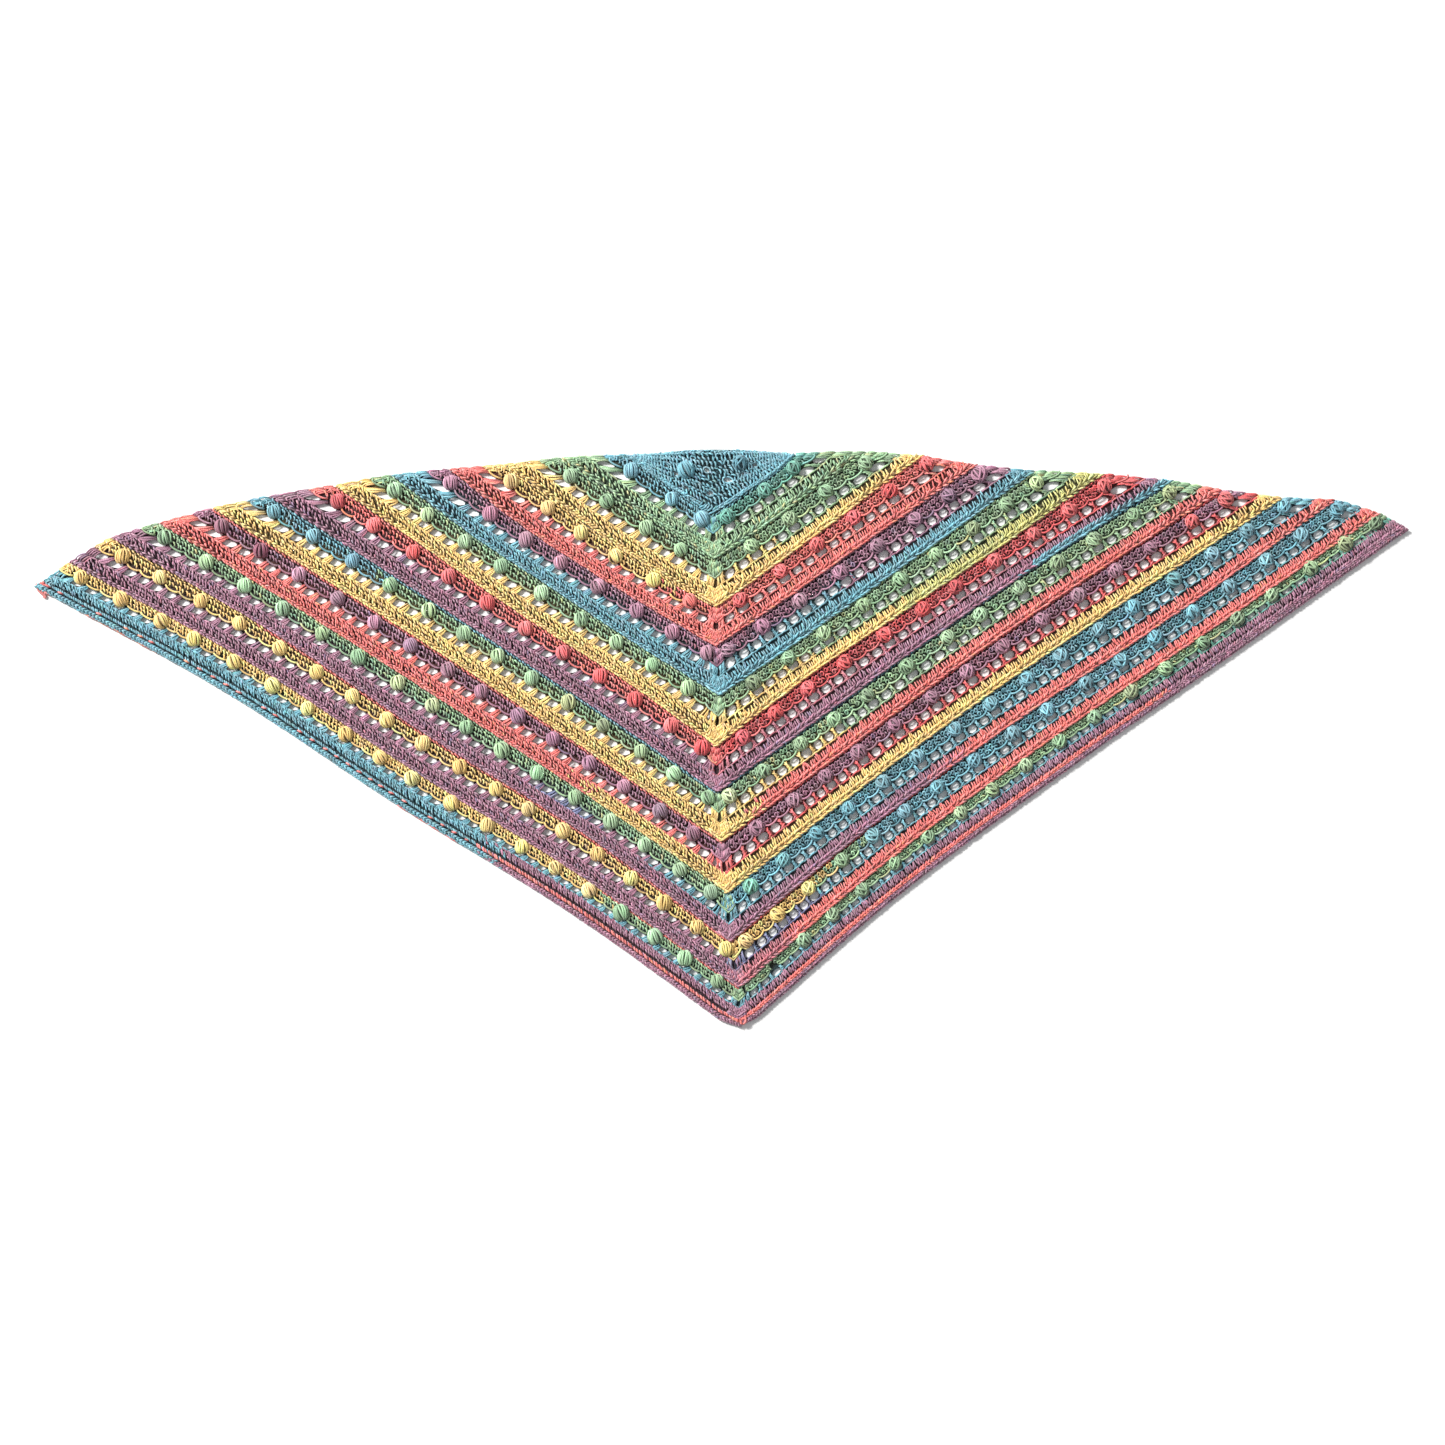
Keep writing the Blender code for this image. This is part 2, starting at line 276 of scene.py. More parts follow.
class Wing:
    """One wing of one band: columns along the row, share across it."""

    def __init__(self, number, side, bobbles):
        self.number = number
        self.side = side
        self.inner = TRACKS[number - 2]
        self.outer = TRACKS[number - 1]
        self.rounding = (ROUNDING[number - 2], ROUNDING[number - 1])
        self.lean = 1.0 if side == "left" else -1.0   # sign of "towards the corner"
        self.bobbles = np.array(bobbles, float)
        tip, corner = self.ends(np.array([ANCHOR]))
        tip, corner = float(tip[0]), float(corner[0])
        step = 8.45
        if side == "left":
            low, high = tip, corner
        else:
            low, high = corner, tip
        self.first = -int((self.bobbles[0] - low - 1.5) / step)
        self.last = 6 * (len(self.bobbles) - 1) + int((high - self.bobbles[-1] - 1.5) / step)
        if side == "left":
            self.tip_column, self.corner_column = self.first, self.last
        else:
            self.tip_column, self.corner_column = self.last, self.first
        if side == "left":
            self.tip_c = (low - self.bobbles[0]) / 8.45
            self.corner_c = 6 * (len(self.bobbles) - 1) + (high - self.bobbles[-1]) / 8.45
        else:
            self.corner_c = (low - self.bobbles[0]) / 8.45
            self.tip_c = 6 * (len(self.bobbles) - 1) + (high - self.bobbles[-1]) / 8.45
        table = LEFT_COLOURS if side == "left" else RIGHT_COLOURS
        self.colours = dict(zip(LAYER_COLUMNS, table[number]))

    def columns(self):
        """Every stitch column, with one more at the spine where there is room."""
        cols = list(range(self.first, self.last + 1))
        left_over = abs(self.corner_c - self.corner_column)
        if left_over > 0.75:
            cols.append(self.corner_c - self.lean * 0.42)
        return np.array(sorted(cols), float)

    def fan_columns(self):
        """Half columns where the row widens, towards the spine and the neck edge."""
        cols = np.arange(self.first, self.last) + 0.5
        a = self.base(cols)
        tip0, corner0 = self.ends(ANCHOR)
        near = np.minimum(np.abs(corner0 - a), np.abs(a - tip0))
        return cols[near < 38.0]

    def ends(self, f):
        a, b = self.inner, self.outer
        if self.side == "left":
            tip = a["left_u"] + (b["left_u"] - a["left_u"]) * f
            corner = a["corner_u"] + (b["corner_u"] - a["corner_u"]) * f
        else:
            tip = a["right_v"] + (b["right_v"] - a["right_v"]) * f
            corner = a["corner_v"] + (b["corner_v"] - a["corner_v"]) * f
        return tip, corner

    def across(self, line, a):
        if self.side == "left":
            t = (a - line["left_u"]) / (line["corner_u"] - line["left_u"])
            return smooth_curve([line[k] for k in ("v0", "v1", "v2", "v3", "corner_v")], t)
        t = (a - line["corner_v"]) / (line["right_v"] - line["corner_v"])
        return smooth_curve([line[k] for k in ("corner_u", "u1", "u2", "u3", "u4")], t)

    def base(self, c):
        x = np.asarray(c, float) / 6.0
        b = self.bobbles
        i = np.clip(np.floor(x).astype(int), 0, len(b) - 2)
        inside = b[i] + (b[i + 1] - b[i]) * (x - i)
        n = len(b) - 1
        inside = np.where(x < 0, b[0] + x * 50.7, inside)
        return np.where(x > n, b[-1] + (x - n) * 50.7, inside)

    def place(self, c, f):
        """Plan position in metres of columns c at shares f."""
        c, f = np.broadcast_arrays(np.asarray(c, float), np.asarray(f, float))
        a0 = self.base(c)
        width = np.abs(self.across(self.inner, a0) - self.across(self.outer, a0))
        shift = self.lean * GROWTH * width * (f - ANCHOR)
        tip0, corner0 = self.ends(ANCHOR)
        tip, corner = self.ends(f)
        near_corner = ease(1 - np.abs(corner0 - a0) / FAN)
        near_tip = ease(1 - np.abs(a0 - tip0) / FAN)
        a = a0 + shift + near_corner * ((corner - corner0) - shift) \
            + near_tip * ((tip - tip0) - shift)
        # no column crosses the spine
        if self.side == "left":
            a = np.minimum(a, corner)
        else:
            a = np.maximum(a, corner)
        other = self.across(self.inner, a) * (1 - f) + self.across(self.outer, a) * f
        p = plan_point(a, other) if self.side == "left" else plan_point(other, a)
        step = 0.892 * MM if self.side == "left" else 0.858 * MM
        pull = self.rounding[0] + (self.rounding[1] - self.rounding[0]) * f
        reach = np.clip(1 - np.abs(corner - a) * step / CORNER_REACH, 0, 1)
        p = p + np.stack((np.zeros_like(reach), pull * reach), axis=-1)
        return p - CENTRE


class StartPanel:
    """The small start at the neck: neck edge inside, first raised line outside."""

    def __init__(self):
        self.number = 1
        self.side = "right"
        self.lean = -1.0
        line = TRACKS[0]
        t = np.linspace(0, 1, 12)
        u = line["left_u"] + (line["corner_u"] - line["left_u"]) * t
        v = smooth_curve([line[k] for k in ("v0", "v1", "v2", "v3", "corner_v")], t)
        left = plan_point(u, v)
        v = line["corner_v"] + (line["right_v"] - line["corner_v"]) * t
        u = smooth_curve([line[k] for k in ("corner_u", "u1", "u2", "u3", "u4")], t)
        right = plan_point(u, v)
        self.outer = np.concatenate((left, right[1:])) - CENTRE
        t = np.linspace(0, 1, len(self.outer))
        self.neck = plan_point(smooth_curve([n[0] for n in NECK], t),
                               smooth_curve([n[1] for n in NECK], t)) - CENTRE
        self.count = 25
        self.first, self.last = 0, self.count
        self.bobbles = np.array((5.6, 13.2))
        self.colours = dict(zip(LAYER_COLUMNS, ("T", "T", "T", "T", "T", "T")))

    def base(self, c):
        return np.asarray(c, float)

    def place(self, c, f):
        c, f = np.broadcast_arrays(np.asarray(c, float), np.asarray(f, float))
        x = np.clip(c / self.count, 0, 1) * (len(self.outer) - 1)
        i = np.minimum(x.astype(int), len(self.outer) - 2)
        w = (x - i)[..., None]
        p = self.neck[i] * (1 - w) + self.neck[i + 1] * w
        q = self.outer[i] * (1 - w) + self.outer[i + 1] * w
        return p * (1 - f[..., None]) + q * f[..., None]


# ---------------------------------------------------------------- yarn
class Yarn:
    """Collects strands and turns them into one mesh of closed round tubes."""

    def __init__(self):
        self.verts, self.faces, self.colours, self.twists = [], [], [], []
        self.count = 0
        self.triangles = 0

    def add(self, points, radius, colour, closed=False, sides=5, floor=0.35):
        points = np.asarray(points, float)
        if points.ndim == 2:
            points = points[None]
        n, m, _ = points.shape
        if n == 0:
            return
        radius = np.broadcast_to(np.asarray(radius, float), (n, m)) * MM
        colour = np.asarray(colour, float)
        if colour.ndim == 2:
            colour = colour[:, None, :]
        colour = np.broadcast_to(colour, (n, m, 3))
        if closed:
            tangent = np.roll(points, -1, axis=1) - np.roll(points, 1, axis=1)
        else:
            tangent = np.empty_like(points)
            tangent[:, 1:-1] = points[:, 2:] - points[:, :-2]
            tangent[:, 0] = points[:, 1] - points[:, 0]
            tangent[:, -1] = points[:, -1] - points[:, -2]
        tangent /= np.maximum(np.linalg.norm(tangent, axis=2, keepdims=True), 1e-9)
        normal = np.empty_like(points)
        seed = np.cross(tangent[:, 0], np.array((0.0, 0.0, 1.0)))
        weak = np.linalg.norm(seed, axis=1) < 0.15
        seed[weak] = np.cross(tangent[weak, 0], np.array((0.0, 1.0, 0.0)))
        seed /= np.linalg.norm(seed, axis=1, keepdims=True)
        normal[:, 0] = seed
        for k in range(1, m):
            w = normal[:, k - 1]
            w = w - (w * tangent[:, k]).sum(axis=1, keepdims=True) * tangent[:, k]
            normal[:, k] = w / np.maximum(np.linalg.norm(w, axis=1, keepdims=True), 1e-9)
        binormal = np.cross(tangent, normal)
        angle = np.arange(sides) * 2 * math.pi / sides
        ca, sa = np.cos(angle), np.sin(angle)
        ring = (normal[:, :, None, :] * ca[None, None, :, None]
                + binormal[:, :, None, :] * sa[None, None, :, None])
        verts = points[:, :, None, :] + ring * radius[:, :, None, None]
        verts[..., 2] = np.maximum(verts[..., 2], floor * MM)
        length = np.zeros((n, m))
        length[:, 1:] = np.cumsum(np.linalg.norm(np.diff(points, axis=1), axis=2), axis=1) / MM
        length += rng.uniform(0, 8, (n, 1))
        twist = np.empty((n, m, sides, 3))
        twist[..., 0] = ca
        twist[..., 1] = sa
        twist[..., 2] = length[:, :, None]
        start = self.count
        index = start + np.arange(n * m * sides).reshape(n, m, sides)
        if closed:
            a, b = index, np.roll(index, -1, axis=1)
        else:
            a, b = index[:, :-1], index[:, 1:]
        quads = np.stack((a, np.roll(a, -1, axis=2), np.roll(b, -1, axis=2), b), axis=-1)
        self.faces.extend(quads.reshape(-1, 4).tolist())
        self.triangles += 2 * quads.size // 4
        if not closed:
            self.faces.extend(index[:, 0, ::-1].tolist())
            self.faces.extend(index[:, -1].tolist())
            self.triangles += 2 * n * (sides - 2)
        self.verts.append(verts.reshape(-1, 3))
        self.colours.append(np.repeat(colour[:, :, None, :], sides, axis=2).reshape(-1, 3))
        self.twists.append(twist.reshape(-1, 3))
        self.count += n * m * sides

    def piece(self, name, material):
        verts = np.concatenate(self.verts)
        mesh = bpy.data.meshes.new(name)
        mesh.from_pydata(verts.tolist(), [], self.faces)
        colour = np.concatenate(self.colours)
        layer = mesh.attributes.new("yarn_colour", "FLOAT_COLOR", "POINT")
        layer.data.foreach_set("color", np.hstack((colour, np.ones((len(colour), 1)))).ravel())
        layer = mesh.attributes.new("yarn_twist", "FLOAT_VECTOR", "POINT")
        layer.data.foreach_set("vector", np.concatenate(self.twists).ravel())
        mesh.shade_smooth()
        mesh.materials.append(material)
        obj = bpy.data.objects.new(name, mesh)
        bpy.context.scene.collection.objects.link(obj)
        return obj


def strand(wing, columns, steps, loose=1.0):
    """Points of one strand per column. steps: (columns towards the spine, share, z mm)."""
    columns = np.asarray(columns, float)
    n = len(columns)
    steps = np.array(steps, float)
    c = columns[:, None] + wing.lean * steps[None, :, 0] + rng.normal(0, 0.045 * loose, (n, 1))
    f = steps[None, :, 1] + rng.normal(0, 0.006 * loose, (n, 1))
    z = steps[None, :, 2] + rng.normal(0, 0.22 * loose, (n, 1))
    z = z + rng.normal(0, 0.10 * loose, (n, len(steps)))
    plan = wing.place(c, np.broadcast_to(f, c.shape))
    return np.concatenate((plan, np.maximum(z, 0.6)[..., None] * MM), axis=-1)


def shade(colour, factor):
    return np.clip(colour * factor, 0.003, 0.97)


def stitch_strand(yarn, wing, cols, steps, radius, spec, loose=1.0, dark=1.0, closed=False):
    """The same strand in every one of cols, each in its own tone."""
    if len(cols):
        yarn.add(strand(wing, cols, steps, loose), radius,
                 shade(yarn_colour(spec, wing.base(cols)), dark), closed=closed, sides=4)


def hatch(yarn, wing, cols, f, angle, length, radius, spec, z=4.0, rise=1.3, bend=0.0,
          dark=1.0, spread=7.0, tips=0.72):
    """Short strands, one over share f of each column, lying at an angle in the plan."""
    cols = np.asarray(cols, float)
    n = len(cols)
    if not n:
        return
    a = np.radians(angle + rng.normal(0, spread, n))
    reach = 0.5 * length * MM * (1 + rng.normal(0, 0.10, n))
    ahead = np.stack((np.cos(a), np.sin(a)), axis=1) * reach[:, None]
    sideways = np.stack((-np.sin(a), np.cos(a)), axis=1) * bend * MM
    middle = wing.place(cols + rng.normal(0, 0.05, n), f + rng.normal(0, 0.007, n))
    height = z + rng.normal(0, 0.25, n)
    if abs(bend) > 0.4:
        rows = ((-1.0, 0.0, 0.0), (-0.45, 0.9, 1.0), (0.45, 0.9, 1.0), (1.0, 0.0, 0.0))
    else:
        rows = ((-1.0, 0.0, 0.0), (0.0, 1.0, 1.0), (1.0, 0.0, 0.0))
    points = np.empty((n, len(rows), 3))
    for k, (t, up, side) in enumerate(rows):
        points[:, k, :2] = middle + ahead * t + sideways * side
        points[:, k, 2] = np.maximum(height + rise * (up - 0.5), 0.7) * MM
    thick = [radius * tips] + [radius] * (len(rows) - 2) + [radius * tips]
    yarn.add(points, [thick], shade(yarn_colour(spec, wing.base(cols)), dark), sides=4)


def row_angle(wing):
    return math.degrees(ROW_A if wing.side == "left" else ROW_B)


def single_line(yarn, wing, cols, spec):
    """The thin first line: two small tufts over each stitch."""
    tilt = row_angle(wing) - (22 if wing.side == "left" else -22)
    hatch(yarn, wing, cols - 0.22, 0.030, tilt, 4.6, 0.95, spec, z=4.1)
    hatch(yarn, wing, cols + 0.26, 0.045, tilt, 4.4, 0.90, spec, z=3.7)


def single_row(yarn, wing, cols, spec):
    """Single crochet between the bobbles: small open hooks over a curved lower chain."""
    phase = np.mod(cols, 6)
    between = cols[phase != 0]
    if wing.side == "left":
        for shift, f, bend in ((-0.30, 0.135, 1.1), (0.20, 0.150, 1.1), (-0.12, 0.262, 1.2),
                               (0.36, 0.275, 1.2)):
            hatch(yarn, wing, between + shift, f, -74, 5.0, 0.92, spec, z=4.5, rise=1.5,
                  bend=bend, spread=11)
    else:
        t = np.linspace(0, 2 * math.pi, 6, endpoint=False)
        for shift, f in ((-0.27, 0.140), (0.24, 0.165), (0.02, 0.282)):
            ring = [(shift + 0.21 * math.sin(x), f - 0.055 * math.cos(x),
                     4.3 + 0.8 * math.cos(x)) for x in t]
            stitch_strand(yarn, wing, between, ring, 0.92, spec, 1.3, closed=True)
        hatch(yarn, wing, between + 0.45, 0.27, -20, 3.8, 0.85, spec, z=4.2, spread=16)
    for centre in (2.0, 4.0):
        own = cols[phase == centre]
        lower = [(1.02 * x, 0.322 + 0.066 * (1 - abs(x) ** 2.4), 4.3 + 0.5 * (1 - abs(x)))
                 for x in np.linspace(-1, 1, 6)]
        stitch_strand(yarn, wing, own, lower, 1.05, spec)


def mesh_row(yarn, wing, cols, spec):
    """Open mesh: a leaning tuft of fine strands at every second column, and its top chain."""
    own = cols[np.mod(cols, 2) == 1]
    if wing.side == "left":
        tufts = (((0.40, 0.372, 3.2), (0.04, 0.500, 4.2), (-0.42, 0.640, 3.2)),
                 ((0.62, 0.392, 2.8), (0.22, 0.520, 3.8), (-0.14, 0.645, 3.4)),
                 ((0.22, 0.395, 2.6), (-0.22, 0.520, 3.6), (-0.62, 0.650, 3.0)),
                 ((0.48, 0.440, 3.6), (0.36, 0.540, 3.6), (0.10, 0.650, 3.0)))
    else:
        tufts = (((0.10, 0.375, 3.2), (-0.02, 0.510, 4.6), (-0.20, 0.650, 3.4)),
                 ((-0.12, 0.385, 2.8), (0.12, 0.500, 4.4), (0.04, 0.640, 3.4)),
                 ((0.34, 0.400, 2.8), (0.06, 0.470, 4.9), (-0.24, 0.520, 3.4)),
                 ((-0.30, 0.560, 2.8), (0.02, 0.580, 4.5), (0.32, 0.620, 3.2)))
    for steps in tufts:
        stitch_strand(yarn, wing, own, steps, 0.88, spec)
    top = ((-0.60, 0.646, 2.8), (0.0, 0.626, 4.2), (0.60, 0.646, 2.8))
    stitch_strand(yarn, wing, cols, top, 0.95, spec)


def treble_row(yarn, wing, cols, spec, fan=()):
    """Solid row: lines of short slanting strands, closing towards the chain line."""
    fan = np.asarray(fan, float)
    if wing.side == "left":
        for shift, f, length, z in ((-0.34, 0.668, 5.4, 3.7), (0.04, 0.690, 5.8, 4.3),
                                    (0.40, 0.664, 5.0, 3.7),
                                    (-0.24, 0.762, 5.6, 4.2), (0.12, 0.778, 5.8, 4.6),
                                    (0.46, 0.756, 5.0, 4.0),
                                    (-0.14, 0.850, 5.0, 4.2), (0.30, 0.858, 5.0, 4.0)):
            hatch(yarn, wing, cols + shift, f, -68, length, 0.92, spec, z=z, spread=9)
        for f in (0.68, 0.77, 0.86):
            hatch(yarn, wing, fan, f, -66, 5.4, 0.95, spec, z=4.0, spread=9)
    else:
        odd = cols[np.mod(cols, 2) != 0]
        for shift, f, length, z in ((-0.32, 0.792, 7.6, 4.3), (0.02, 0.800, 8.2, 4.7),
                                    (0.34, 0.806, 7.4, 4.2), (-0.16, 0.872, 5.0, 4.6),
                                    (0.26, 0.874, 5.0, 4.6)):
            hatch(yarn, wing, cols + shift, f, -62, length, 0.90, spec, z=z, spread=8, tips=0.6)
        hatch(yarn, wing, odd - 0.10, 0.715, -62, 8.6, 0.95, spec, z=4.6, spread=6, tips=0.5)
        hatch(yarn, wing, odd + 0.16, 0.732, -58, 7.8, 0.90, spec, z=4.3, spread=6, tips=0.5)
        for f in (0.70, 0.79, 0.87):
            hatch(yarn, wing, fan, f, -62, 6.4, 0.95, spec, z=4.1, spread=8)


def chain_line(yarn, wing, cols, spec, centre=0.940, half=0.045, lift=0.0, radius=0.95,
               raised=False, slant=13.0):
    """The raised line: Vs of fine strands over a thicker core, its colour darkened to 0.45 as painted
    shade under the Vs.
    """
    along = row_angle(wing)
    outer = -1.0 if wing.side == "left" else 1.0
    # the core at 0.45 of the yarn colour is painted shade under the Vs
    stitch_strand(yarn, wing, cols, ((-0.56, centre, 3.4 + lift), (0.56, centre, 3.4 + lift)),
                  2.1 if raised else 1.5, spec, 0.5, dark=0.45)
    if raised:
        for shift in (-0.25, 0.25):
            hatch(yarn, wing, cols + shift, centre - half, along + 22, 6.6, 1.12, spec,
                  z=6.4 + lift, rise=1.6, spread=5)
            hatch(yarn, wing, cols + shift + 0.12, centre + half, along - 20, 6.6, 1.12, spec,
                  z=6.4 + lift, rise=1.6, spread=5)
        hatch(yarn, wing, cols, centre, along + 4, 5.4, 0.9, spec, z=6.3 + lift, rise=1.0,
              spread=8, dark=0.9)
    else:
        for shift in (-0.25, 0.25):
            hatch(yarn, wing, cols + shift, centre - half, along - outer * slant, 5.4, radius,
                  spec, z=5.3 + lift, spread=5)
            hatch(yarn, wing, cols + shift + 0.12, centre + half, along + outer * slant, 5.4,
                  radius, spec, z=5.2 + lift, spread=5)


def bobble(yarn, centre, axis_angle, colour, size=1.0, crossed=False):
    """A puff of stitches worked together: a dome of fine strands over a core, the core's colour darkened
    to 0.30 as painted shade between the strands.
    """
    axis = np.array((math.cos(axis_angle), math.sin(axis_angle)))
    side = np.array((axis[1], -axis[0]))
    wide, tall, high = 7.4 * size, 7.7 * size, 6.2 * size
    middle = 3.6
    base = np.asarray(centre, float)

    def spot(x, y, z):
        plan = base + (side * x + axis * y) * MM
        return (plan[0], plan[1], z * MM)

    lam = np.radians(np.array((-80, -42, 0, 42, 80)))
    # the core at 0.30 of the yarn colour is painted shade seen between the strands
    core = [spot(0, tall * 0.86 * math.sin(k), middle - 0.5) for k in lam]
    yarn.add([core], [[wide * 0.83 * max(math.cos(k), 0.14) for k in lam]],
             shade(colour, 0.30), sides=8)
    ribs = 9
    for j in range(ribs):
        over_all = crossed and j % 3 == 1
        tilt = math.radians(rng.normal(0, 5) + (rng.choice((-52, 40)) if over_all else 0))
        phi = math.radians(-74 + 148 * j / (ribs - 1) + rng.normal(0, 3.5))
        if over_all:
            phi *= 0.75
        raised = rng.normal(0, 0.22) + (0.75 if over_all else 0.0)
        reach = 70 if over_all else 78
        lam = np.radians(np.linspace(-reach, reach, 6))
        bend = rng.normal(0.4, 0.4)
        points = []
        for k in lam:
            x = wide * math.sin(phi) * math.cos(k) ** 0.75 + bend * math.sin(2 * k)
            y = tall * math.sin(k)
            x, y = (x * math.cos(tilt) - y * math.sin(tilt),
                    x * math.sin(tilt) + y * math.cos(tilt))
            over = max(1 - (x / (wide * 1.04)) ** 2 - (y / (tall * 1.05)) ** 2, 0.0)
            points.append(spot(x, y, middle + (high + raised) * math.sqrt(over)))
        radius = [1.08 * size * (0.62 + 0.38 * math.cos(k)) for k in lam]
        tone = colour * math.exp(rng.normal(0.04, 0.20))
        yarn.add([points], [radius], np.clip(tone, 0.003, 0.97), sides=4)
    # the chain that closes the puff, at its upper side
    close = [spot(x, -tall * (0.82 + 0.10 * math.cos(x)), middle + 2.2 - 0.12 * x * x)
             for x in (-2.8, 0.0, 2.8)]
    yarn.add([close], 1.0, np.clip(colour * 1.05, 0.003, 0.97), sides=4)


def bobble_row(yarn, wing, spec):
    spots = wing.bobbles
    skipped = SKIPPED.get((wing.side, wing.number), ())
    tones = yarn_colour(spec, spots, blur=6.0)
    calm = yarn_colour(spec, spots, blur=0.0)
    for i, _ in enumerate(spots):
        if i in skipped:
            continue
        centre = wing.place(6.0 * i, 0.245)
        size = rng.normal(1.0, 0.04)
        angle = math.radians((-72 if wing.side == "left" else -52) + rng.normal(0, 9))
        bobble(yarn, centre, angle, 0.5 * (tones[i:i + 1] + calm[i:i + 1]), size,
               crossed=wing.side == "right")


def row_ends(yarn, wing):
    """Turning chains along the neck edge, short loops for each row."""
    c = wing.tip_c
    out = -wing.lean
    for lo, hi, layer in ((0.02, 0.20, "single"), (0.18, 0.40, "single"), (0.38, 0.62, "mesh"),
                          (0.60, 0.86, "treble"), (0.84, 1.0, "chain")):
        for shift in (-0.95, -0.62, -0.30, 0.0, 0.20):
            points = []
            for x in np.linspace(0, 1, 4):
                f = lo + (hi - lo) * x
                cc = c + out * (shift + 0.22 * math.sin(math.pi * x) + rng.normal(0, 0.07))
                plan = wing.place(cc, f)
                points.append((plan[0], plan[1], (2.4 + 1.9 * math.sin(math.pi * x)
                                                  + rng.normal(0, 0.3)) * MM))
            yarn.add([points], 0.95, yarn_colour(wing.colours[layer],
                                                 np.array([float(wing.base(c))]), 2.0), sides=4)


def spine(yarn, left, right):
    """Increase stitches on the spine, which carry each row round the corner."""
    def spot(q, f, z):
        wing = left if q < 0 else right
        p = wing.place(wing.corner_c + q, f)
        return (p[0], p[1], z * MM)

    def add(steps, radius, layer, tone=1.0):
        wing = left if rng.random() < 0.5 else right
        colour = yarn_colour(wing.colours[layer], np.array([float(wing.base(wing.corner_c))]), 2.0)
        points = [spot(q + rng.normal(0, 0.03), f + rng.normal(0, 0.004),
                       z + rng.normal(0, 0.15)) for q, f, z in steps]
        yarn.add([points], radius, shade(colour, tone), sides=4)

    def clear(q):
        """True where no bobble covers this place beside the spine."""
        wing = left if q < 0 else right
        c = wing.corner_c + q
        k = np.arange(len(wing.bobbles)) * 6.0
        return float(np.min(np.abs(k - c))) > 1.0

    # the single crochet row fans out from the inner corner
    for q in (-1.25, -0.95, -0.65, -0.35, -0.08, 0.22, 0.5, 0.8, 1.1):
        if clear(q * 0.8):
            add(((q * 0.25, 0.04, 3.0), (q * 0.55, 0.13, 4.9), (q * 0.75, 0.22, 3.6)), 0.95,
                "single")
            add(((q * 0.72, 0.20, 3.4), (q * 0.86, 0.30, 5.0), (q, 0.39, 3.4)), 0.95, "single")
    add(((-1.3, 0.36, 3.4), (-0.7, 0.40, 4.6), (0.0, 0.415, 4.6), (0.7, 0.40, 4.6),
         (1.3, 0.36, 3.4)), 1.05, "single")
    # mesh tufts on both sides of a small hole
    for q in (-1.15, -0.62, 0.62, 1.15):
        for shift in (-0.16, 0.0, 0.16):
            add(((q * 0.8 + shift, 0.40, 3.2), (q * 0.9 + shift * 0.4, 0.50, 4.4),
                 (q - shift, 0.64, 3.4)), 0.9, "mesh")
    add(((-1.2, 0.63, 3.2), (-0.6, 0.645, 4.2), (0.0, 0.655, 4.0), (0.6, 0.645, 4.2),
         (1.2, 0.63, 3.2)), 1.0, "mesh")
    # the solid row fans out too
    for q in (-1.5, -1.2, -0.9, -0.62, -0.36, -0.1, 0.18, 0.45, 0.72, 1.0, 1.3):
        add(((q * 0.6, 0.65, 3.2), (q * 0.72, 0.71, 4.7), (q * 0.84, 0.775, 3.6)), 0.95, "treble")
        add(((q * 0.8, 0.76, 3.6), (q * 0.92, 0.82, 4.8), (q, 0.885, 3.6)), 0.95, "treble")
    # the chain line turns the corner
    for arm in (-1, 1):
        for q in (-1.3, -0.9, -0.5, -0.1, 0.3, 0.7, 1.1):
            f = 0.938
            add(((q - 0.36, f + arm * 0.016, 5.0), (q, f + arm * 0.040, 6.9),
                 (q + 0.36, f + arm * 0.050, 5.2)), 1.05, "chain")


# ---------------------------------------------------------------- materials
def new_material(name):
    mat = bpy.data.materials.new(name)
    mat.use_nodes = True
    return mat, mat.node_tree.nodes, mat.node_tree.links


def math_node(nodes, links, operation, a, b=None, c=None):
    node = nodes.new("ShaderNodeMath")
    node.operation = operation
    for i, value in enumerate((a, b, c)):
        if value is None:
            continue
        if isinstance(value, (int, float)):
            node.inputs[i].default_value = value
        else:
            links.new(value, node.inputs[i])
    return node.outputs[0]


